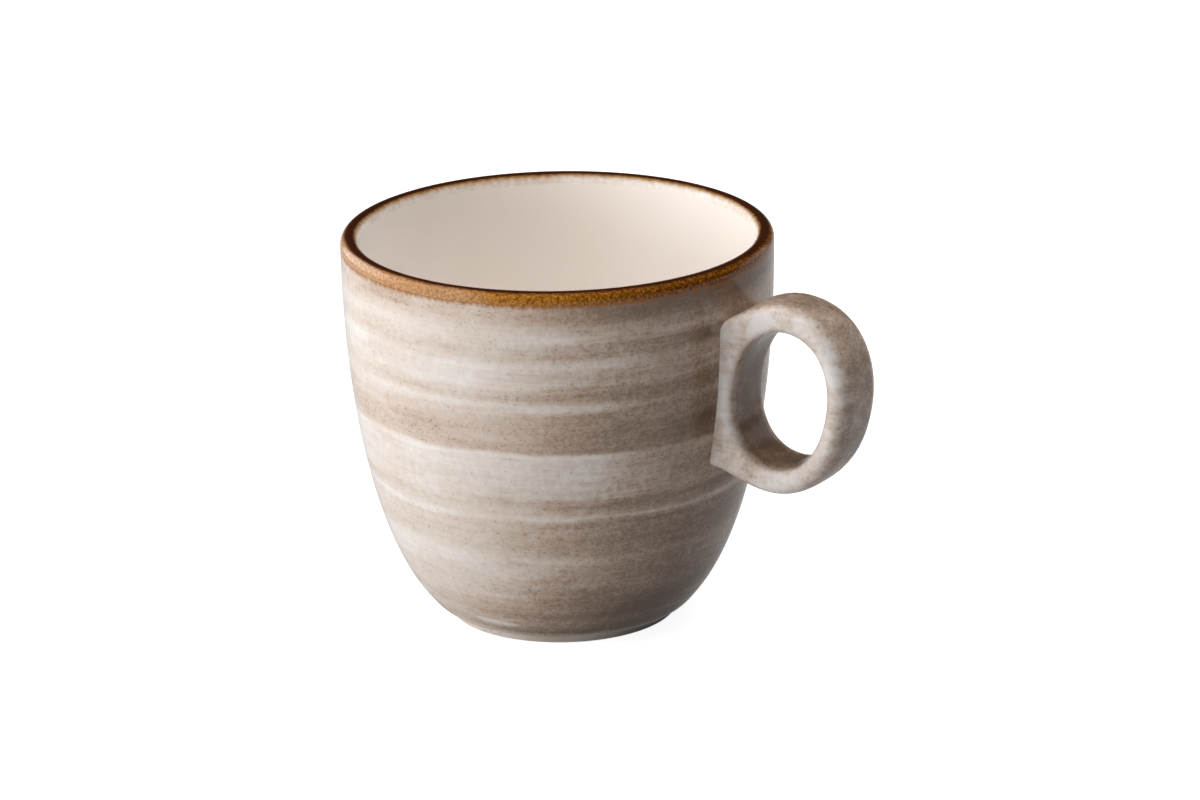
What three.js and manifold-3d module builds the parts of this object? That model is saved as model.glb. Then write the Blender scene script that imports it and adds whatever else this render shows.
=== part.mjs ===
// A glazed stoneware mug with a ring handle. Millimetres, +Z up, the handle towards +X.
// One curve gives the outside of the cup. The wall, the coats of glaze and the handle's seat are offsets of it.
import * as THREE from 'three';
import { mergeVertices } from 'three/addons/utils/BufferGeometryUtils.js';
import Module from 'manifold-3d';

// Cup
const RIM_DIAMETER = 85;
const CUP_HEIGHT = 78;
const WALL = 3.6; // clay with both coats of glaze
const BOWL_BASE_ANGLE = 37; // degrees above the table, where the bowl leaves the foot
const BOWL_ROUNDING = 12.5; // how far the curve holds that direction
const SIDE_STRAIGHTNESS = 40; // how far it holds upright below the rim
const FLOOR_HEIGHT = 6.2; // inside floor above the table
const FLOOR_BLEND = 2.5; // rise of the round between floor and wall

// Foot
const FOOT_DIAMETER = 45;
const FOOT_HEIGHT = 2;
const FOOT_FLARE = 1.3; // how much wider the foot gets upwards, on each side
const FOOT_STEP = 0.5; // how far the glazed bowl stands out over it
const FOOT_RING_WIDTH = 3.5;
const RECESS_DEPTH = 1.6;

// Glaze
const GLAZE = 0.4;
const BAND_DROP = 0.6; // brown band below the round of the lip, outside

// Handle: a ring that leans outwards with the wall, its base strip seated on the cup
const RING_DROP = 25.4; // ring's centre below the rim
const RING_SINK = 4.8; // how far the ring's outline runs into the cup
const RING_LENGTH = 38.1;
const RING_DEPTH = 31.2;
const RING_LEAN = 12; // degrees
const RING_SQUARENESS = 2.15; // exponent of the ring's outline, 2 for an ellipse
const STRAP_OUTER = 4.5; // ring's width at its far side, top and bottom
const STRAP_TOP = 4.9;
const STRAP_BOTTOM = 5.5;
const BASE_STRIP = 1.9; // clay between the finger hole and the cup
const HANDLE_THICKNESS = 14;
const HANDLE_EDGE_ROUND = 2;
const EDGE_FLAT = 0.5; // least flat left between two rounds
const SLIP = 0.3; // layer that joins handle and cup
const SEAT_GAP = 0.3; // clearance of the pieces that are cut to the cup

// Facets
const TURN_FACETS = 48;
const BOWL_STEPS = 9;
const LIP_STEPS = 6;
const FLOOR_STEPS = 3;
const RING_FACETS = 36;
const EDGE_STEPS = 2;
const HALVINGS = 40; // of the search along the bowl's curve

// Finishes
const CLAY = { color: 0xd6cbbb, roughness: 0.7 };
const GREY_GLAZE = { color: 0xa89b8d, roughness: 0.2 };
const CREAM_GLAZE = { color: 0xf2ebe0, roughness: 0.15 };
const BROWN_GLAZE = { color: 0x6e3f14, roughness: 0.15 };

const wasm = await Module();
wasm.setup();

const rimRadius = RIM_DIAMETER / 2;
const footRadius = FOOT_DIAMETER / 2;
const footTopRadius = footRadius + FOOT_FLARE;
const recessRadius = footRadius - FOOT_RING_WIDTH;
const recessCeiling = RECESS_DEPTH + GLAZE;
const lipHeight = CUP_HEIGHT - WALL / 2;
const bandHeight = lipHeight - BAND_DROP;
const ringLean = THREE.MathUtils.degToRad(RING_LEAN);
const ringHeight = CUP_HEIGHT - RING_DROP;
const ringStandoff = RING_DEPTH / 2 - RING_SINK;

function point(radius, height) {
  return new THREE.Vector2(radius, height);
}

function bowlCurve() {
  const angle = THREE.MathUtils.degToRad(BOWL_BASE_ANGLE);
  const base = point(footTopRadius + FOOT_STEP, FOOT_HEIGHT);
  const leaving = point(Math.cos(angle), Math.sin(angle)).multiplyScalar(BOWL_ROUNDING).add(base);
  const rising = point(rimRadius, bandHeight - SIDE_STRAIGHTNESS);
  return new THREE.CubicBezierCurve(base, leaving, rising, point(rimRadius, bandHeight));
}

const bowl = bowlCurve();

// A point of the cup's outside, moved into the wall by depth.
function bowlPoint(t, depth) {
  const along = bowl.getTangent(t);
  return bowl.getPoint(t).addScaledVector(point(-along.y, along.x), depth);
}

// Where the bowl, moved in by depth, reaches a height.
function bowlParameter(height, depth) {
  let low = 0;
  let high = 1;
  for (let i = 0; i < HALVINGS; i += 1) {
    const middle = (low + high) / 2;
    if (bowlPoint(middle, depth).y < height) low = middle;
    else high = middle;
  }
  return high;
}

const floorStart = bowlParameter(FLOOR_HEIGHT + FLOOR_BLEND, WALL);
const ringSeat = bowlPoint(bowlParameter(ringHeight, 0), 0);
const ringCentre = point(ringSeat.x + ringStandoff, ringHeight);

// Profiles run with the material on their left, so that turned faces point out.
function bowlSide(depth, start = 0) {
  const points = [];
  for (let i = 0; i <= BOWL_STEPS; i += 1) {
    points.push(bowlPoint(start + ((1 - start) * i) / BOWL_STEPS, depth));
  }
  return points;
}

function lip(depth) {
  const radius = WALL / 2 - depth;
  const points = [];
  for (let i = 0; i <= LIP_STEPS; i += 1) {
    const angle = (Math.PI * i) / LIP_STEPS;
    points.push(point(rimRadius - WALL / 2 + radius * Math.cos(angle), lipHeight + radius * Math.sin(angle)));
  }
  return points;
}

// The inside from below the lip to the middle of the floor, sunk below the liner's face by depth.
function inside(depth) {
  const side = bowlSide(WALL - depth, floorStart).reverse();
  const floor = FLOOR_HEIGHT - depth;
  const start = side.pop();
  const along = bowl.getTangent(floorStart);
  const corner = start.clone().addScaledVector(along, (floor - start.y) / along.y);
  const end = point(corner.x - corner.distanceTo(start), floor);
  const round = new THREE.QuadraticBezierCurve(start, corner, end).getPoints(FLOOR_STEPS);
  return [...side, ...round, point(0, floor)];
}

function turned(profile) {
  return new THREE.LatheGeometry(profile, TURN_FACETS).rotateX(Math.PI / 2);
}

function closedTurned(profile) {
  return turned([...profile, profile[0]]);
}

function solid(geometry) {
  const bare = geometry.clone();
  bare.deleteAttribute('normal');
  bare.deleteAttribute('uv');
  const merged = mergeVertices(bare);
  const corners = merged.index.array;
  const kept = [];
  for (let i = 0; i < corners.length; i += 3) {
    const [a, b, c] = corners.slice(i, i + 3);
    if (a !== b && b !== c && c !== a) kept.push(a, b, c);
  }
  const vertProperties = merged.attributes.position.array;
  return new wasm.Manifold(new wasm.Mesh({ numProp: 3, vertProperties, triVerts: new Uint32Array(kept) }));
}

function geometryOf(manifold) {
  const { vertProperties, triVerts } = manifold.getMesh();
  const geometry = new THREE.BufferGeometry();
  geometry.setAttribute('position', new THREE.BufferAttribute(vertProperties, 3));
  geometry.setIndex(new THREE.BufferAttribute(triVerts, 1));
  geometry.computeVertexNormals();
  return geometry;
}

// A rounded outline between four sides, in the ring's own directions: outwards and up.
function ringOutline(left, right, bottom, top) {
  const rounded = (value) => Math.sign(value) * Math.abs(value) ** (2 / RING_SQUARENESS);
  const points = [];
  for (let i = 0; i < RING_FACETS; i += 1) {
    const angle = (2 * Math.PI * i) / RING_FACETS;
    const out = (left + right) / 2 + ((right - left) / 2) * rounded(Math.cos(angle));
    const up = (bottom + top) / 2 + ((top - bottom) / 2) * rounded(Math.sin(angle));
    points.push(point(out, up));
  }
  return points;
}

// The handle's outer form, sunk by inset all round, whole or with its finger hole.
function ring(inset, withHole) {
  const right = RING_DEPTH / 2 - inset;
  const top = RING_LENGTH / 2 - inset;
  const shape = new THREE.Shape(ringOutline(-right, right, -top, top));
  if (withHole) {
    const holeLeft = BASE_STRIP - ringStandoff - inset;
    const holeRight = RING_DEPTH / 2 - STRAP_OUTER + inset;
    const holeBottom = STRAP_BOTTOM - RING_LENGTH / 2 - inset;
    const holeTop = RING_LENGTH / 2 - STRAP_TOP + inset;
    shape.holes.push(new THREE.Path(ringOutline(holeLeft, holeRight, holeBottom, holeTop)));
  }
  const thinnest = Math.min(STRAP_OUTER, STRAP_TOP, STRAP_BOTTOM, HANDLE_THICKNESS);
  const round = Math.min(HANDLE_EDGE_ROUND, (thinnest - EDGE_FLAT) / 2) - inset;
  const flat = HANDLE_THICKNESS - 2 * inset - 2 * round;
  const geometry = new THREE.ExtrudeGeometry(shape, {
    depth: flat,
    bevelThickness: round,
    bevelSize: round,
    bevelOffset: -round,
    bevelSegments: EDGE_STEPS,
  });
  geometry.translate(0, 0, -flat / 2).rotateX(Math.PI / 2).rotateY(ringLean);
  return geometry.translate(ringCentre.x, 0, ringCentre.y);
}

// Everything within the cup's outside, moved in by depth and carried straight up to the rim.
function bowlCore(depth) {
  const side = bowlSide(depth);
  const top = [point(side.at(-1).x, CUP_HEIGHT), point(0, CUP_HEIGHT)];
  return solid(turned([point(0, side[0].y), ...side, ...top]));
}

function bodyShell() {
  const underside = [point(0, recessCeiling), point(recessRadius, recessCeiling), point(recessRadius, 0)];
  const foot = [point(footRadius, 0), point(footTopRadius, FOOT_HEIGHT)];
  return turned([...underside, ...foot, ...bowlSide(GLAZE), ...lip(GLAZE), ...inside(GLAZE)]);
}

function innerGlaze() {
  const clay = [lip(GLAZE).at(-1), ...inside(GLAZE)].reverse();
  return turned([...clay, lip(0).at(-1), ...inside(0)]);
}

function outerGlaze() {
  const coat = solid(closedTurned([...bowlSide(0), ...bowlSide(GLAZE).reverse()]));
  return geometryOf(coat.subtract(solid(ring(GLAZE - SEAT_GAP, false))));
}

function rimBand() {
  const outside = [bowlPoint(1, 0), ...lip(0)];
  const clay = [bowlPoint(1, GLAZE), ...lip(GLAZE)];
  return closedTurned([...outside, ...clay.reverse()]);
}

function baseGlaze() {
  const lower = [point(0, RECESS_DEPTH), point(recessRadius, RECESS_DEPTH)];
  return turned([...lower, point(recessRadius, recessCeiling), point(0, recessCeiling)]);
}

function handleCore() {
  return geometryOf(solid(ring(GLAZE, true)).subtract(bowlCore(GLAZE - SLIP - SEAT_GAP)));
}

function handleSlip() {
  const layer = solid(closedTurned([...bowlSide(GLAZE - SLIP), ...bowlSide(GLAZE).reverse()]));
  return geometryOf(layer.intersect(solid(ring(GLAZE, false))));
}

function handleGlaze() {
  const coat = solid(ring(0, true)).subtract(solid(ring(GLAZE, true)));
  return geometryOf(coat.subtract(bowlCore(-SEAT_GAP)));
}

const mug = new THREE.Group();

function addPiece(name, geometry, finish) {
  const piece = new THREE.Mesh(geometry, new THREE.MeshStandardMaterial({ ...finish, metalness: 0 }));
  piece.name = name;
  mug.add(piece);
}

addPiece('body_shell', bodyShell(), CLAY);
addPiece('handle_slip', handleSlip(), CLAY);
addPiece('handle_core', handleCore(), CLAY);
addPiece('inner_glaze', innerGlaze(), CREAM_GLAZE);
addPiece('outer_glaze', outerGlaze(), GREY_GLAZE);
addPiece('handle_glaze', handleGlaze(), GREY_GLAZE);
addPiece('base_glaze', baseGlaze(), GREY_GLAZE);
addPiece('rim_band', rimBand(), BROWN_GLAZE);

// The origin is under the middle of cup and handle together, on the table.
const reach = new THREE.Box3().setFromObject(mug).max.x;
mug.position.x = (rimRadius - reach) / 2;

export default mug;
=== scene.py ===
import math
import bmesh
import bpy
from mathutils import Matrix, Vector


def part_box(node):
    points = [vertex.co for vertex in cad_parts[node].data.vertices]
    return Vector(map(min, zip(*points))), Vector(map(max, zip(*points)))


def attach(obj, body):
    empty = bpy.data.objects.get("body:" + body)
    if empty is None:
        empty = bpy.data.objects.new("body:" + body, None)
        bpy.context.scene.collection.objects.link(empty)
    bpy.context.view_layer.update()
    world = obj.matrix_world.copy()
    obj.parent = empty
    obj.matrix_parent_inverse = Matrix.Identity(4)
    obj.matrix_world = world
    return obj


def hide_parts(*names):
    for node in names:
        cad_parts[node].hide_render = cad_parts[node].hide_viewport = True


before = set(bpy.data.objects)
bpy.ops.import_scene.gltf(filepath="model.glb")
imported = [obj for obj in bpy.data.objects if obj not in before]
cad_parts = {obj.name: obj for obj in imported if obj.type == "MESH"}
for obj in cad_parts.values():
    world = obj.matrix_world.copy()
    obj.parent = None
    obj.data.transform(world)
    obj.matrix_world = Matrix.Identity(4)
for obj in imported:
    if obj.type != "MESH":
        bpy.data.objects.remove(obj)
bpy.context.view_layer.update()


# Clay cup
# One shell of pale stoneware, turned in a mould: a round lip, a wall that runs in one curve into the bowl,
# a thick floor and a foot ring. The foot is wiped clean of glaze before firing, so bare clay shows there.
MM = 0.001
BOWL_ANGLE = math.radians(37)     # above the table, where the bowl leaves the foot
BOWL_ROUNDING = 12.5 * MM         # how far the curve holds that direction
SIDE_STRAIGHTNESS = 40 * MM       # how far it holds upright below the lip
FOOT_RADIUS = 22.5 * MM
FOOT_FLARE = 1.3 * MM
FOOT_STEP = 0.5 * MM              # glazed bowl standing out over the bare foot
FOOT_EDGE = 0.45 * MM             # round of the standing ring's edges
FLOOR_BLEND = 2.5 * MM            # rise of the round between floor and wall
FLOOR_LOOPS = (0.66, 0.33, 0.0)   # of the flat floor's radius
TURN_STEPS = 144
BOWL_STEPS = 60
ARC_STEPS = 12
HALVINGS = 40                     # of a search along a curve
MERGE_DISTANCE = 0.002 * MM
TURNED_SMOOTH = math.radians(35)  # sharper edges stay sharp

rim_low, rim_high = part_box("rim_band")
coat_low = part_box("outer_glaze")[0]
clay_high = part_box("body_shell")[1]
liner_low, liner_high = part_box("inner_glaze")
base_low, base_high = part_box("base_glaze")
cup_x = (rim_low.x + rim_high.x) / 2
rim_radius = (rim_high.x - rim_low.x) / 2
glaze = rim_high.x - clay_high.x
wall = rim_high.x + glaze - liner_high.x
lip_centre = rim_high.z - wall / 2
floor_top = liner_low.z + glaze
recess_radius = (base_high.x - base_low.x) / 2
foot_top = FOOT_RADIUS + FOOT_FLARE
bowl_base = Vector((foot_top + FOOT_STEP, coat_low.z))
bowl_top = Vector((rim_radius, rim_low.z))
bowl_controls = (
    bowl_base,
    bowl_base + BOWL_ROUNDING * Vector((math.cos(BOWL_ANGLE), math.sin(BOWL_ANGLE))),
    bowl_top - Vector((0, SIDE_STRAIGHTNESS)),
    bowl_top,
)


def bowl_point(t, depth):
    """Radius and height of a point of the cup's outside, moved into the wall by depth."""
    a, b, c, d = bowl_controls
    s = 1 - t
    place = s**3 * a + 3 * s * s * t * b + 3 * s * t * t * c + t**3 * d
    along = (s * s * (b - a) + 2 * s * t * (c - b) + t * t * (d - c)).normalized()
    return place + depth * Vector((-along.y, along.x))


def bowl_side(depth, start=0.0):
    """The cup's outside from a start along its curve up to the lip, moved into the wall by depth."""
    return [bowl_point(start + (1 - start) * i / BOWL_STEPS, depth) for i in range(BOWL_STEPS + 1)]


def bowl_at(height, depth=0.0):
    """Where along the bowl's curve, moved in by depth, a height is reached."""
    low, high = 0.0, 1.0
    for _ in range(HALVINGS):
        middle = (low + high) / 2
        if bowl_point(middle, depth).y < height:
            low = middle
        else:
            high = middle
    return high


def arc(centre, radius, first, last):
    """Points of an arc between two angles in degrees, counted from outwards, up."""
    middle = Vector(centre)
    angles = [math.radians(first + (last - first) * i / ARC_STEPS) for i in range(ARC_STEPS + 1)]
    return [middle + radius * Vector((math.cos(angle), math.sin(angle))) for angle in angles]


def lip(depth):
    """The lip's round over the top of the wall, sunk by depth."""
    return arc((rim_radius - wall / 2, lip_centre), wall / 2 - depth, 0, 180)


def inside(depth):
    """The inside from below the lip to the middle of the floor, sunk below the liner's face by depth."""
    floor = floor_top - depth
    start = bowl_at(floor_top + FLOOR_BLEND, wall)
    side = bowl_side(wall - depth, start)[::-1]
    low = side[-1]
    along = (side[-1] - side[-2]).normalized()
    corner = low + along * (floor - low.y) / along.y
    end = Vector((corner.x - (corner - low).length, floor))
    steps = [i / ARC_STEPS for i in range(1, ARC_STEPS + 1)]
    round_part = [(1 - t) ** 2 * low + 2 * t * (1 - t) * corner + t * t * end for t in steps]
    middle = [Vector((end.x * share, floor)) for share in FLOOR_LOOPS]
    below_lip = Vector((side[0].x, lip_centre))
    return [below_lip] + side + round_part + middle


def draw_line(points):
    """Edit mode: a line through points in space, drawn by extruding one vertex from each to the next."""
    bpy.ops.mesh.primitive_plane_add(size=MM, location=points[0])
    bpy.ops.mesh.merge(type="CENTER")
    for here, there in zip(points, points[1:]):
        bpy.ops.mesh.extrude_region_move(TRANSFORM_OT_translate={"value": there - here})


def new_piece(name):
    """A new empty mesh at the origin, open in edit mode."""
    bpy.ops.object.select_all(action="DESELECT")
    bpy.ops.mesh.primitive_plane_add(size=MM, location=(0, 0, 0))
    piece = bpy.context.object
    piece.name = piece.data.name = name
    bpy.ops.object.mode_set(mode="EDIT")
    bpy.ops.mesh.delete(type="VERT")
    return piece


def turn(name, profile):
    """A profile of radii and heights, spun round the cup's axis. Off the axis it is closed on itself."""
    piece = new_piece(name)
    line = profile if profile[0].x == 0 else profile + profile[:1]
    draw_line([Vector((cup_x + p.x, 0, p.y)) for p in line])
    bpy.ops.mesh.select_all(action="SELECT")
    bpy.ops.mesh.spin(steps=TURN_STEPS, angle=2 * math.pi, center=(cup_x, 0, 0), axis=(0, 0, 1))
    bpy.ops.mesh.select_all(action="SELECT")
    bpy.ops.mesh.remove_doubles(threshold=MERGE_DISTANCE)
    bpy.ops.mesh.delete_loose()
    bpy.ops.mesh.select_all(action="SELECT")
    bpy.ops.mesh.normals_make_consistent(inside=False)
    bpy.ops.object.mode_set(mode="OBJECT")
    bpy.ops.object.shade_smooth_by_angle(angle=TURNED_SMOOTH)
    return piece


foot_ring = [
    Vector((0, base_high.z)),
    Vector((recess_radius, base_high.z)),
    *arc((recess_radius + FOOT_EDGE, FOOT_EDGE), FOOT_EDGE, 180, 270),
    *arc((FOOT_RADIUS - FOOT_EDGE, FOOT_EDGE), FOOT_EDGE, 270, 330),
    Vector((foot_top, coat_low.z)),
]
cup_clay = turn("cup_clay", foot_ring + bowl_side(glaze) + lip(glaze) + inside(glaze))


class Tone:
    """A socket of a material's nodes. Arithmetic on tones adds Math nodes."""

    def __init__(self, tree, socket=None):
        self.tree = tree
        self.socket = socket

    def node(self, kind, settings, inputs, output=0):
        """Adds a node: its settings first, then the values or links of its sockets."""
        new = self.tree.nodes.new(kind)
        for key, value in settings.items():
            if key == "stops":
                ramp = new.color_ramp
                ramp.elements.remove(ramp.elements[1])
                for number, (place, colour) in enumerate(value):
                    stop = ramp.elements[0] if number == 0 else ramp.elements.new(place)
                    stop.position = place
                    stop.color = (*colour, 1)
            else:
                setattr(new, key, value)
        for key, value in inputs.items():
            if isinstance(value, Tone):
                self.tree.links.new(value.socket, new.inputs[key])
            else:
                new.inputs[key].default_value = value
        return Tone(self.tree, new.outputs[output])

    def maths(self, operation, first, second=0.0):
        return self.node("ShaderNodeMath", {"operation": operation}, {0: first, 1: second})

    def __add__(self, other):
        return self.maths("ADD", self, other)

    __radd__ = __add__

    def __sub__(self, other):
        return self.maths("SUBTRACT", self, other)

    def __rsub__(self, other):
        return self.maths("SUBTRACT", other, self)

    def __mul__(self, other):
        return self.maths("MULTIPLY", self, other)

    __rmul__ = __mul__

    def within(self, low, high):
        """Rises smoothly from 0 to 1 between low and high, or falls where low is above high."""
        inputs = {"Value": self, "From Min": low, "From Max": high}
        return self.node("ShaderNodeMapRange", {"interpolation_type": "SMOOTHSTEP"}, inputs)

    def grain(self, scale, detail=3.0, roughness=0.55):
        """Cloudy noise on a vector, from 0 to 1, with scale clouds or so to each of its units."""
        inputs = {"Vector": self, "Scale": scale, "Detail": detail, "Roughness": roughness}
        return self.node("ShaderNodeTexNoise", {}, inputs)

    def stretched(self, scale):
        """A vector with each of its directions scaled."""
        return self.node("ShaderNodeVectorMath", {"operation": "MULTIPLY"}, {0: self, 1: scale})

    def ramp(self, stops):
        """A colour from stops along this tone."""
        return self.node("ShaderNodeValToRGB", {"stops": stops}, {"Fac": self})

    def blend(self, under, over):
        """A colour between two, by this tone."""
        inputs = {0: self, 6: under, 7: over}
        return self.node("ShaderNodeMix", {"data_type": "RGBA", "clamp_factor": True}, inputs, 2)


def start_finish(name):
    """A new material, and the place on the cup in millimetres from the middle of its foot."""
    finish = bpy.data.materials.new(name)
    finish.use_nodes = True
    tone = Tone(finish.node_tree)
    place = tone.node("ShaderNodeTexCoord", {}, {}, "Object")
    inputs = {"Vector": place, "Location": (-cup_x / MM, 0, 0), "Scale": (1 / MM, 1 / MM, 1 / MM)}
    return finish, tone.node("ShaderNodeMapping", {}, inputs)


def end_finish(finish, colour, roughness, relief, relief_height):
    """Feeds the shader its colour, roughness and relief."""
    shader = finish.node_tree.nodes["Principled BSDF"]
    links = finish.node_tree.links
    links.new(colour.socket, shader.inputs["Base Color"])
    links.new(roughness.socket, shader.inputs["Roughness"])
    bump = relief.node("ShaderNodeBump", {}, {"Height": relief, "Distance": relief_height})
    links.new(bump.socket, shader.inputs["Normal"])


def height_of(place):
    return place.node("ShaderNodeSeparateXYZ", {}, {0: place}, "Z")


PALE_CLAY = (0.87, 0.785, 0.71, 1)
WARM_CLAY = (0.72, 0.63, 0.545, 1)
CLAY_SPECK = (0.17, 0.11, 0.07, 1)
CLAY_RELIEF = 0.03 * MM


def clay_finish():
    """Bare fired clay: matt, faintly cloudy, with a fine grain and a few iron specks."""
    finish, place = start_finish("bare_clay")
    cloud = place.grain(0.12, 4.0)
    sand = place.grain(2.6, 2.0)
    specks = place.grain(1.1, 1.0).within(0.72, 0.78)
    body = cloud.within(0.3, 0.75).blend(PALE_CLAY, WARM_CLAY)
    colour = (specks * 0.7).blend(body, CLAY_SPECK)
    end_finish(finish, colour, 0.55 + 0.2 * sand, sand, CLAY_RELIEF)
    return finish


bare_clay = clay_finish()
cup_clay.data.materials.append(bare_clay)
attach(cup_clay, "root")
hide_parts("body_shell")


# Handle core and its slip
# The handle is cast by itself as a ring of the same clay, and luted to the leather-hard cup with slip,
# which is liquid clay. Both lie under the glaze, so the plain solids stay and take the clay's finish.
for hidden in ("handle_core", "handle_slip"):
    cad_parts[hidden].data.materials.clear()
    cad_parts[hidden].data.materials.append(bare_clay)


# Inner glaze
# A cream-white glossy coat poured into the cup and out again. It runs up to the brown band on the lip,
# where a little brown has bled down into it.
CREAM = (0.955, 0.905, 0.865, 1)
CREAM_WARM = (0.945, 0.88, 0.82, 1)
GOLDEN = (0.40, 0.215, 0.075, 1)
CREAM_RELIEF = 0.15 * MM

inner_glaze = turn("inner_glaze_coat", inside(0) + inside(glaze)[::-1])


def cream_colour(place):
    """The liner's colour: cream, faintly cloudy, with a few pinholes."""
    body = place.grain(0.03, 2.0).within(0.3, 0.7).blend(CREAM, CREAM_WARM)
    pinholes = place.grain(1.4, 1.0).within(0.76, 0.8)
    return (pinholes * 0.2).blend(body, WARM_CLAY)


def lip_crossing(place):
    """Millimetres outwards from the lip's crest, wavering as the brown coat's edges do."""
    flat = place.stretched((1, 1, 0))
    radius = flat.node("ShaderNodeVectorMath", {"operation": "LENGTH"}, {0: flat}, "Value")
    ragged = place.grain(0.9, 4.0) - 0.5
    drift = place.grain(0.06, 2.0) - 0.5
    return radius - (rim_radius - wall / 2) / MM + 0.5 * ragged + 0.6 * drift


def fading_brown(crossing, brown, cream):
    """The brown of the lip fading through gold into the cream inside."""
    golden = crossing.within(-0.75, -1.35).blend(brown, GOLDEN)
    return crossing.within(-1.15, -2.00).blend(golden, cream)


def cream_finish():
    """The liner: glossy and a little wavy, golden along its edge below the lip."""
    finish, place = start_finish("cream_glaze")
    wavy = place.grain(0.05, 2.0)
    below_lip = height_of(place) - lip_centre / MM
    colour = fading_brown(lip_crossing(place) + 0.35 * below_lip, GOLDEN, cream_colour(place))
    end_finish(finish, colour, 0.14 + 0.06 * wavy, wavy, CREAM_RELIEF)
    return finish


inner_glaze.data.materials.append(cream_finish())
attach(inner_glaze, "root")
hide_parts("inner_glaze")


# Outer glaze
# A grey-beige coat, brushed on the turning cup, so that it lies in level strokes, taupe where they are
# thin and chalky where they are thick. Fine brown grains show through the thin ones. It ends in a soft
# roll above the foot.
ROLL = 0.16 * MM                  # how far the roll stands out
ROLL_HEIGHT = 1.1 * MM            # above the coat's edge
THIN_BROWN = (0.190, 0.130, 0.093)
TAUPE = (0.345, 0.243, 0.177)
GREY_BEIGE = (0.520, 0.393, 0.308)
PALE_BEIGE = (0.670, 0.572, 0.498)
CHALK = (0.810, 0.768, 0.732)
GRAIN_BROWN = (0.190, 0.112, 0.062, 1)
IRON_SPECK = (0.075, 0.042, 0.024, 1)
AMBER = (0.31, 0.105, 0.004, 1)
BRUSH_RELIEF = 0.03 * MM
LAMP_SIDE = (-0.46, -0.89, 0)    # the side of the cup facing the lamps on the left, where light is painted
# Height in millimetres and tone, from 0 for thin to 1 for thick, of the main strokes of the brush.
STROKES = (
    (2.0, 0.62), (3.2, 0.50), (4.2, 0.14), (6.9, 0.38), (8.5, 0.20), (12.0, 0.34), (17.5, 0.52),
    (21.8, 0.66), (23.5, 0.46), (29.6, 0.48), (30.1, 0.58), (31.1, 0.80), (32.2, 0.54), (34.0, 0.36),
    (35.4, 0.68), (43.6, 0.70), (44.7, 0.80), (45.6, 0.32), (49.0, 0.25), (53.4, 0.50), (55.0, 0.74),
    (56.4, 0.40), (58.0, 0.52), (59.6, 0.76), (61.0, 0.66), (63.4, 0.78), (65.4, 0.49), (67.0, 0.48),
    (69.2, 0.66), (71.5, 0.50), (73.2, 0.27), (75.0, 0.27),
)
COAT_COLOURS = ((0.0, THIN_BROWN), (0.25, TAUPE), (0.5, GREY_BEIGE), (0.66, PALE_BEIGE), (0.86, CHALK))


def rolled_side():
    """The coat's face, a little thicker where it has run together above the foot."""
    points = []
    for point in bowl_side(0):
        away = (point.y - coat_low.z - ROLL_HEIGHT) / ROLL_HEIGHT
        points.append(point + Vector((ROLL * math.exp(-away * away), 0)))
    return points


outer_glaze = turn("outer_glaze_coat", rolled_side() + bowl_side(glaze)[::-1])


def brushed_colour(place, tone):
    """The coat's colour where it is tone thick. Brown grains and iron specks show where it is thin."""
    coat = tone.ramp(COAT_COLOURS)
    grains = place.stretched((1, 1, 1.4)).grain(1.5, 2.0)
    shown = (grains + 0.15 - 0.45 * tone).within(0.45, 0.60)
    grainy = (shown * 0.42).blend(coat, GRAIN_BROWN)
    cells = place.node("ShaderNodeTexVoronoi", {}, {"Vector": place, "Scale": 0.75})
    specks = cells.within(0.17, 0.08) * place.grain(0.4, 2.0).within(0.54, 0.68)
    return (specks * 0.5).blend(grainy, IRON_SPECK)


def painted_side_light(place):
    """Painted light round the cup: 1 on the side facing the lamps on the left, 0 beside it and 0.4 on the
    far side, where the board behind lights it.
    """
    inputs = {0: place, 1: LAMP_SIDE}
    along = place.node("ShaderNodeVectorMath", {"operation": "DOT_PRODUCT"}, inputs, "Value")
    towards = along * (MM / rim_radius)
    return towards.within(-0.2, 0.9) + 0.4 * towards.within(-0.5, -1.0)


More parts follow.
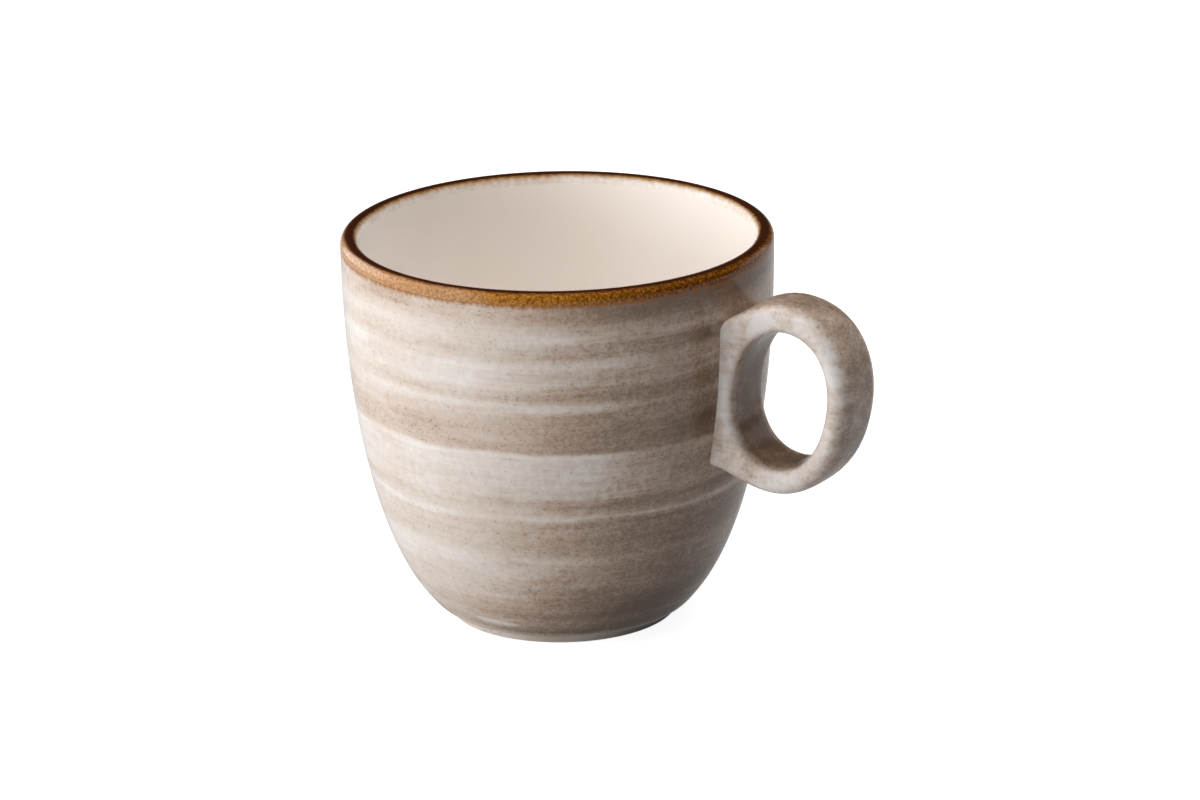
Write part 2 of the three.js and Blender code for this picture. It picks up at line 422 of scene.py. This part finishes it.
def brushed_finish():
    """The cup's coat: wandering strokes that fade and return, amber below the lip, with painted light on
    the side facing the lamps, its strokes flattened there under a painted sheen, and painted shade low
    beside it.
    """
    finish, place = start_finish("brushed_glaze")
    height = height_of(place)
    drift = place.stretched((0.022, 0.022, 0.05)).grain(1.0, 2.0)
    streaks = place.stretched((0.055, 0.055, 0.75)).grain(1.0, 3.0, 0.6)
    hairs = place.stretched((0.11, 0.11, 2.2)).grain(1.0, 2.0, 0.5)
    patches = place.stretched((0.06, 0.06, 0.13)).grain(1.0, 3.0)
    mottle = place.grain(0.7, 4.0, 0.65)
    top = STROKES[-1][0]
    wander = height + 3.0 * (drift - 0.5) + 1.8 * (patches - 0.5) + 1.0 * (streaks - 0.5)
    levels = (wander * (1 / top)).ramp([(level / top, (tone, tone, tone)) for level, tone in STROKES])
    presence = place.stretched((0.034, 0.034, 0.08)).grain(1.0, 2.0).within(0.32, 0.68)
    stroke = 0.5 + (0.45 + 0.75 * presence) * (levels - 0.5)
    brush = 0.34 * (streaks - 0.5) + 0.17 * (hairs - 0.5)
    clouds = 0.40 * (patches - 0.5) + 0.50 * (mottle - 0.5)
    # Painted light: the coat is lighter on the side facing the lamps on the left, and a little on the far
    # side.
    side_light = painted_side_light(place)
    # Painted sheen: the strokes are flattened on the lit side, as under a reflection of the lamps.
    contrast_under_sheen = 1 - 0.5 * side_light.within(0.4, 1.0)
    # Painted light and shade low on the cup: lighter on the lit side, darker beside it.
    painted_low_shading = height.within(34, 8) * (0.17 * side_light - 0.07)
    dashes = place.stretched((0.07, 0.07, 0.3)).grain(1.0, 1.0).within(0.58, 0.74) * height.within(14, 8)
    tone = 0.28 + 0.39 * side_light + painted_low_shading + contrast_under_sheen * (stroke - 0.5 + brush + clouds) + 0.30 * dashes
    band = rim_low.z / MM
    fringe = place.stretched((1, 1, 0.3)).grain(0.8, 4.0, 0.65)
    run_down = (height + 2.2 * (fringe - 0.5)).within(band - 1.1, band + 0.2)
    colour = run_down.blend(brushed_colour(place, tone), AMBER)
    relief = 0.6 * streaks + 0.3 * hairs + 2.0 * place.grain(0.07, 2.0)
    end_finish(finish, colour, 0.11 + 0.10 * mottle, relief, BRUSH_RELIEF)
    return finish


brushed_glaze = brushed_finish()
outer_glaze.data.materials.append(brushed_glaze)
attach(outer_glaze, "root")
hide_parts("outer_glaze")


# Handle glaze
# The same coat over the cast ring: a leaning oval strap with round edges, and a base strip that flares
# a little where the glaze has filled the corner between handle and cup.
RING_LEAN = math.radians(12)
RING_DEPTH = 31.2 * MM
RING_LENGTH = 38.1 * MM
RING_DROP = 25.4 * MM             # ring's middle below the lip
RING_SINK = 4.8 * MM              # how far its outline would run into the cup
RING_SQUARENESS = 2.15            # 2 for an ellipse
STRAP_OUTER = 4.5 * MM
STRAP_TOP = 4.9 * MM
STRAP_BOTTOM = 5.5 * MM
BASE_STRIP = 1.9 * MM
OUTER_SWELL = 0.35 * MM           # glaze gathered on the ring's outside
OUTER_ROUND = (1.9 * MM, 3.4 * MM)     # of the ring's outer edges: towards the hole, and across
HOLE_ROUND = (1.3 * MM, 2.8 * MM)
TOP_SEAT_ROUND = 0.8              # share of the outer round that is left where the ring meets the cup
BOTTOM_SEAT_ROUND = 0.2
ROUND_GROWS = 7 * MM              # over this way from the cup the round becomes full
FACE_MIDDLE = 0.5                 # of the way from the ring's outer edge to its hole
SEAT_MIDDLE = 0.4                 # the same where the ring is seated
FLARE = 0.8 * MM
COAT = 0.35 * MM
SEAT_SINK = 0.15 * MM             # the coat's edge below the cup's glaze
FREE_STEPS = 34
SEAT_STEPS = 12
BENDS = (0, 0.5, 1)               # loops over each edge's round
SUBDIVISIONS = 2
HANDLE_SMOOTH = math.radians(50)
STRAP_MIDDLE = (13.3, 16.4)       # millimetres, half depth and half length of the strap's middle line
DAB_RELIEF = 0.03 * MM

handle_low, handle_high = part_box("handle_glaze")
half_thickness = (handle_high.y - handle_low.y) / 2
ring_height = rim_high.z - RING_DROP
ring_standoff = RING_DEPTH / 2 - RING_SINK
ring_centre = Vector((bowl_point(bowl_at(ring_height), 0).x + ring_standoff, ring_height))


def ring_point(angle, left, right, bottom, top):
    """A point of a leaning, slightly squared oval between four sides of the ring, as radius and height."""
    def squared(value):
        return math.copysign(abs(value) ** (2 / RING_SQUARENESS), value)
    out = (left + right) / 2 + (right - left) / 2 * squared(math.cos(angle))
    up = (bottom + top) / 2 + (top - bottom) / 2 * squared(math.sin(angle))
    cos, sin = math.cos(RING_LEAN), math.sin(RING_LEAN)
    return ring_centre + Vector((cos * out + sin * up, cos * up - sin * out))


def outer_point(angle, inset):
    """A point of the ring's outline, moved in by inset."""
    right = RING_DEPTH / 2 + OUTER_SWELL - inset
    top = RING_LENGTH / 2 + OUTER_SWELL - inset
    return ring_point(angle, -right, right, -top, top)


def hole_point(angle, grow):
    """A point of the finger hole's outline, moved out by grow."""
    left = BASE_STRIP - ring_standoff - grow
    right = RING_DEPTH / 2 - STRAP_OUTER + grow
    bottom = STRAP_BOTTOM - RING_LENGTH / 2 - grow
    top = RING_LENGTH / 2 - STRAP_TOP + grow
    return ring_point(angle, left, right, bottom, top)


def cup_radius(height):
    return bowl_point(bowl_at(height), 0).x


def off_cup(point):
    """How far a point of the handle's middle plane stands off the cup."""
    return point.x - cup_radius(point.y)


def seat_angle(free, sunk):
    """The outline's angle where it meets the cup, between one free of it and one sunk in it."""
    for _ in range(HALVINGS):
        middle = (free + sunk) / 2
        if off_cup(outer_point(middle, 0)) > 0:
            free = middle
        else:
            sunk = middle
    return free


top_angle = seat_angle(math.pi / 2, math.pi)
bottom_angle = seat_angle(-math.pi / 2, -math.pi)
free_span = top_angle - bottom_angle
free_angles = [bottom_angle + free_span * i / FREE_STEPS for i in range(FREE_STEPS + 1)]
seat_span = 2 * math.pi - free_span
seat_angles = [top_angle + seat_span * i / SEAT_STEPS for i in range(1, SEAT_STEPS)]
seat_top = outer_point(top_angle, 0).y + FLARE / 2
seat_bottom = outer_point(bottom_angle, 0).y - FLARE
first_seat = FREE_STEPS
ring_angles = free_angles + seat_angles


def on_cup(height, across):
    """A point of the seat: on the cup at a height, off the middle plane by across, just below the glaze."""
    radius = cup_radius(height) - SEAT_SINK
    return Vector((cup_x + math.sqrt(radius * radius - across * across), across, height))


def seat_height(number):
    """Height of the seat's edge at a number of the ring's angles: its two corners and the strip between."""
    if number == 0:
        return seat_bottom
    share = (number - first_seat) / SEAT_STEPS
    return seat_top + (seat_bottom - seat_top) * share


def in_seat(number):
    return number == 0 or number >= first_seat


def edge_round(number):
    """The strap's outer edge round, inwards and across: full away from the cup and small at its seat."""
    way = max(off_cup(outer_point(ring_angles[number], 0)), 0)
    share = min(way / ROUND_GROWS, 1)
    least = TOP_SEAT_ROUND if 2 * number > FREE_STEPS else BOTTOM_SEAT_ROUND
    part = least + (1 - least) * share * share * (3 - 2 * share)
    return part * OUTER_ROUND[0], part * OUTER_ROUND[1]


def placed(point, across):
    return Vector((cup_x + point.x, across, point.y))


def outer_loop(side, bend):
    """A loop round the ring's outside: side is -1, 0 or 1 across, bend goes from 0 to 1 over the round."""
    angle = bend * math.pi / 2
    points = []
    for number, ring_angle in enumerate(ring_angles):
        inwards, over = edge_round(number)
        across = half_thickness - over * (1 - math.sin(angle))
        if in_seat(number):
            corner = {0: inwards, first_seat: -inwards}.get(number, 0) * (1 - math.cos(angle))
            points.append(on_cup(seat_height(number) + corner, side * (across + FLARE * bend)))
        else:
            points.append(placed(outer_point(ring_angle, inwards * (1 - math.cos(angle))), side * across))
    return points


def hole_loop(side, bend):
    """A loop round the finger hole, in the same way."""
    angle = bend * math.pi / 2
    across = side * (half_thickness - HOLE_ROUND[1] * (1 - math.sin(angle)))
    grow = HOLE_ROUND[0] * (1 - math.cos(angle))
    return [placed(hole_point(ring_angle, grow), across) for ring_angle in ring_angles]


def face_loop(side):
    """The loop along the middle of the ring's flat side, close to the cup where the ring is seated."""
    edge = outer_loop(side, 1)
    hole = hole_loop(side, 1)
    points = []
    for number, (far, near) in enumerate(zip(edge, hole)):
        if in_seat(number):
            level = Vector((far.x, side * half_thickness, far.z))
            points.append(level.lerp(near, SEAT_MIDDLE))
        else:
            points.append(far.lerp(near, FACE_MIDDLE))
    return points


def next_loop(piece, points):
    """Edit mode: extrudes the selected loop and moves each vertex, which keeps its number, to its point."""
    bpy.ops.mesh.extrude_region_move()
    mesh = bmesh.from_edit_mesh(piece.data)
    number = mesh.verts.layers.int["ring_number"]
    for vertex in mesh.verts:
        if vertex.select:
            vertex.co = points[vertex[number]]
    bmesh.update_edit_mesh(piece.data)


handle_glaze = new_piece("handle_glaze_coat")
start_loop = outer_loop(0, 0)
draw_line(start_loop + start_loop[:1])
bpy.ops.mesh.select_all(action="SELECT")
bpy.ops.mesh.remove_doubles(threshold=MERGE_DISTANCE)
shape = bmesh.from_edit_mesh(handle_glaze.data)
ring_number = shape.verts.layers.int.new("ring_number")
for vertex in shape.verts:
    distances = [(point - vertex.co).length for point in start_loop]
    vertex[ring_number] = distances.index(min(distances))
bmesh.update_edit_mesh(handle_glaze.data)
bpy.ops.mesh.select_all(action="SELECT")
for side, order in ((-1, 1), (1, -1)):
    outside = [outer_loop(side, bend) for bend in BENDS]
    hole = [hole_loop(side, bend) for bend in BENDS[::-1]]
    loops = outside + [face_loop(side)] + hole
    if side == 1:
        next_loop(handle_glaze, hole_loop(0, 0))
    for loop in loops[::order]:
        next_loop(handle_glaze, loop)
next_loop(handle_glaze, start_loop)
bpy.ops.mesh.select_all(action="SELECT")
bpy.ops.mesh.remove_doubles(threshold=MERGE_DISTANCE)
bpy.ops.mesh.normals_make_consistent(inside=False)
bpy.ops.mesh.select_mode(type="FACE")
bpy.ops.mesh.select_all(action="DESELECT")
shape = bmesh.from_edit_mesh(handle_glaze.data)
for face in shape.faces:
    seated = [math.hypot(v.co.x - cup_x, v.co.y) < cup_radius(v.co.z) for v in face.verts]
    face.select = all(seated)
bmesh.update_edit_mesh(handle_glaze.data)
bpy.ops.mesh.delete(type="FACE")
bpy.ops.mesh.select_mode(type="VERT")
bpy.ops.object.mode_set(mode="OBJECT")
bpy.ops.object.modifier_add(type="SUBSURF")
rounding = handle_glaze.modifiers[-1]
rounding.levels = SUBDIVISIONS
rounding.render_levels = SUBDIVISIONS
bpy.ops.object.modifier_apply(modifier=rounding.name)
bpy.ops.object.modifier_add(type="SOLIDIFY")
thickening = handle_glaze.modifiers[-1]
thickening.thickness = COAT
thickening.offset = -1
bpy.ops.object.modifier_apply(modifier=thickening.name)
bpy.ops.object.shade_smooth_by_angle(angle=HANDLE_SMOOTH)


def dabbed_finish():
    """The handle's coat: dabbed on in soft clouds, with a painted highlight on the flat sides and painted
    shade in the hole.
    """
    finish, place = start_finish("dabbed_glaze")
    clouds = place.grain(0.11, 4.0, 0.6)
    streaks = place.stretched((0.12, 0.3, 0.5)).grain(1.0, 3.0)
    mottle = place.grain(0.7, 4.0, 0.65)
    across = place.node("ShaderNodeSeparateXYZ", {}, {0: place}, "Y")
    # Painted highlight: the flat sides, the front one facing the lamps, are lighter.
    edge = across.maths("ABSOLUTE", across).within(3.5, 7.0)
    middle = Vector((ring_centre.x, 0, ring_centre.y)) / MM
    offset = place.node("ShaderNodeVectorMath", {"operation": "SUBTRACT"}, {0: place, 1: middle})
    flat = offset.stretched((1 / STRAP_MIDDLE[0], 0, 1 / STRAP_MIDDLE[1]))
    away = flat.node("ShaderNodeVectorMath", {"operation": "LENGTH"}, {0: flat}, "Value")
    # Painted shade: the inside of the finger hole is darker.
    hole_shade = away.within(1.02, 0.8) * (1 - edge)
    varied = (clouds - 0.5) + 0.4 * (streaks - 0.5) + 0.45 * (mottle - 0.5)
    tone = 0.34 + 0.40 * edge - 0.20 * hole_shade + varied
    end_finish(finish, brushed_colour(place, tone), 0.14 + 0.10 * mottle, clouds, DAB_RELIEF)
    return finish


handle_glaze.data.materials.append(dabbed_finish())
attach(handle_glaze, "root")
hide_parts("handle_glaze")


# Base glaze
# The same grey-beige coat in the shallow recess under the cup, inside the standing ring.
# It is poured on and wiped off the ring, so the mug doesn't stick to the kiln's shelf.
base_glaze = turn("base_glaze_coat", [
    Vector((0, base_low.z)),
    Vector((recess_radius, base_low.z)),
    Vector((recess_radius, base_high.z)),
    Vector((0, base_high.z)),
])
base_glaze.data.materials.append(brushed_glaze)
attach(base_glaze, "root")
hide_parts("base_glaze")


# Rim band
# A band of iron-brown glaze brushed round the lip: nearly black on the crest, where it breaks over
# the edge, amber where it has run down outside, and golden where it meets the cream inside.
DEEP_AMBER = (0.100, 0.027, 0.001)
LIGHT_AMBER = (0.48, 0.215, 0.030)
PAINTED_VEIL_PEACH = (0.56, 0.35, 0.215, 1)   # a painted reflection of the lamps on the left, pale peach over the amber
DARK_BROWN = (0.048, 0.010, 0.001, 1)
AMBER_COLOURS = ((0.38, DEEP_AMBER), (0.5, AMBER[:3]), (0.62, LIGHT_AMBER))
RIM_RELIEF = 0.02 * MM

band_foot = [bowl_top - Vector((glaze, 0))]
rim_band = turn("rim_band_coat", [bowl_top] + lip(0) + lip(glaze)[::-1] + band_foot)


def rim_finish():
    """The lip's coat: mottled amber outside, lighter with a painted pale peach reflection towards the lamps
    and darker away from them, dark on the crest, golden inside.
    """
    finish, place = start_finish("rim_glaze")
    mottle = place.grain(2.0, 4.0, 0.7)
    crossing = lip_crossing(place)
    side_light = painted_side_light(place)
    # Mottle with painted light and shade: the amber is lighter towards the lamps on the left and darker
    # away from them.
    mottle_and_side_light = mottle + 0.14 * (side_light - 0.6)
    clear = mottle_and_side_light.ramp(AMBER_COLOURS)
    # Painted reflection: a pale peach veil over the amber on the side facing the lamps.
    painted_veil = side_light.within(0.93, 1.0) * (1.4 * mottle - 0.28)
    amber = painted_veil.blend(clear, PAINTED_VEIL_PEACH)
    crest = crossing.within(1.35, 0.50).blend(amber, DARK_BROWN)
    colour = fading_brown(crossing, crest, cream_colour(place))
    end_finish(finish, colour, 0.14 + 0.08 * mottle, mottle, RIM_RELIEF)
    return finish


rim_band.data.materials.append(rim_finish())
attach(rim_band, "root")
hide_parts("rim_band")


# Floor
# A plain pale table that runs out of the picture. A look at it sees it lifted to white,
# with the mug's shadow left, and the light that it throws back stays that of a grey table.
FLOOR_SIZE = 30.0
FLOOR_GREY = (0.45, 0.45, 0.45, 1)
FLOOR_ROUGHNESS = 0.9
FLOOR_LIFT = 0.90
FLOOR_SHARE = 0.2                 # of the lift that the mug's glaze reflects
WHITE = (1, 1, 1, 1)

bpy.ops.object.select_all(action="DESELECT")
bpy.ops.mesh.primitive_plane_add(size=FLOOR_SIZE, location=(0, 0, 0))
table = bpy.context.object
table.name = "table"


def lift_by_looking(tree, glossy_share):
    """Who looks: 1 for the camera and through glass, a share for reflections and 0 for scattered light."""
    tone = Tone(tree)
    camera_ray = tone.node("ShaderNodeLightPath", {}, {}, "Is Camera Ray")
    through_ray = tone.node("ShaderNodeLightPath", {}, {}, "Is Transmission Ray")
    glossy_ray = tone.node("ShaderNodeLightPath", {}, {}, "Is Glossy Ray")
    return camera_ray + through_ray + glossy_share * glossy_ray


white = bpy.data.materials.new("white_table")
white.use_nodes = True
shader = white.node_tree.nodes["Principled BSDF"]
shader.inputs["Base Color"].default_value = FLOOR_GREY
shader.inputs["Roughness"].default_value = FLOOR_ROUGHNESS
shader.inputs["Specular IOR Level"].default_value = 0.0
shader.inputs["Emission Color"].default_value = WHITE
floor_lift = FLOOR_LIFT * lift_by_looking(white.node_tree, FLOOR_SHARE)
white.node_tree.links.new(floor_lift.socket, shader.inputs["Emission Strength"])
table.data.materials.append(white)


# Light
# A dim room with soft boxes: a tall one on the camera's left, a low strip farther round to the left,
# a dim board behind on the right for the far edge, and a large one above right that reaches into the cup.
# The glaze mirrors two cards on the left in place of the large boxes, whose edges would show hard in it.
CAMERA_BEARING = math.radians(32.5)    # round the cup's axis, from straight on towards the handle
ROOM_LIGHT = 0.01
ROOM_SHARE = 0.01                 # of the white background that the mug's glaze reflects, as in a dim room
DIFFUSE_BOUNCES = 8               # the cream inside is lit by its own walls

world = bpy.data.worlds.new("room")
bpy.context.scene.world = world
world.use_nodes = True
background = world.node_tree.nodes["Background"]
background.inputs["Color"].default_value = WHITE
room_lift = ROOM_LIGHT + (1 - ROOM_LIGHT) * lift_by_looking(world.node_tree, ROOM_SHARE)
world.node_tree.links.new(room_lift.socket, background.inputs["Strength"])


def soft_box(name, left, distance, middle, lean, width, height, brightness):
    """A soft box, left degrees round the cup from the camera's side and tipped down by lean degrees."""
    bearing = CAMERA_BEARING - math.pi / 2 - math.radians(left)
    bpy.ops.object.light_add(type="AREA")
    lamp = bpy.context.object
    lamp.name = name
    lamp.data.shape = "RECTANGLE"
    lamp.data.size = width
    lamp.data.size_y = height
    lamp.data.energy = brightness * math.pi * width * height
    away = Vector((math.cos(bearing), math.sin(bearing), 0))
    place = Vector((cup_x, 0, middle)) + distance * away
    down = math.radians(lean)
    facing = -math.cos(down) * away - math.sin(down) * Vector((0, 0, 1))
    turned = facing.to_track_quat("-Z", "Y").to_matrix().to_4x4()
    lamp.matrix_world = Matrix.Translation(place) @ turned
    return lamp


# Name, degrees left of the camera, distance, height of its middle, lean, width, height, brightness.
tall_box = soft_box("tall_soft_box", 64, 0.8, 0.85, 0, 1.2, 1.7, 2.0)
low_box = soft_box("low_soft_box", 92, 0.8, 0.15, 0, 2.2, 0.3, 3.2)
soft_box("edge_board", -127, 0.9, 0.25, 0, 0.5, 0.4, 0.6)
top_box = soft_box("top_soft_box", -100, 0.32, 1.05, 75, 1.0, 1.0, 2.8)
left_card = soft_box("left_card", 122, 0.9, 0.35, 0, 0.9, 0.7, 2.2)
high_card = soft_box("high_card", 64, 0.8, 0.95, 0, 1.2, 1.2, 2.2)
for box in (tall_box, low_box, top_box):
    box.visible_glossy = False
for card in (left_card, high_card):
    card.visible_diffuse = False
bpy.context.scene.cycles.diffuse_bounces = DIFFUSE_BOUNCES


# Camera
# A long lens, a little above the mug and turned towards its handle.
CAMERA_DISTANCE = 1.1251
CAMERA_HEIGHT = 0.4167
CAMERA_PITCH = math.radians(18.39)
CAMERA_YAW = math.radians(0.40)
CAMERA_ROLL = math.radians(-0.98)
LENS = 180                        # millimetres, as the sensor's width
SENSOR_WIDTH = 36
VIEW_END = 20

bpy.ops.object.camera_add()
camera = bpy.context.object
camera.data.lens = LENS
camera.data.sensor_width = SENSOR_WIDTH
camera.data.clip_end = VIEW_END
across = CAMERA_DISTANCE * math.sin(CAMERA_BEARING)
back = CAMERA_DISTANCE * math.cos(CAMERA_BEARING)
place = Vector((cup_x + across, -back, CAMERA_HEIGHT))
heading = Matrix.Rotation(CAMERA_BEARING - CAMERA_YAW, 4, "Z")
tilt = Matrix.Rotation(math.pi / 2 - CAMERA_PITCH, 4, "X")
roll = Matrix.Rotation(CAMERA_ROLL, 4, "Z")
camera.matrix_world = Matrix.Translation(place) @ heading @ tilt @ roll
bpy.context.scene.camera = camera
bpy.context.scene.view_settings.view_transform = "Standard"
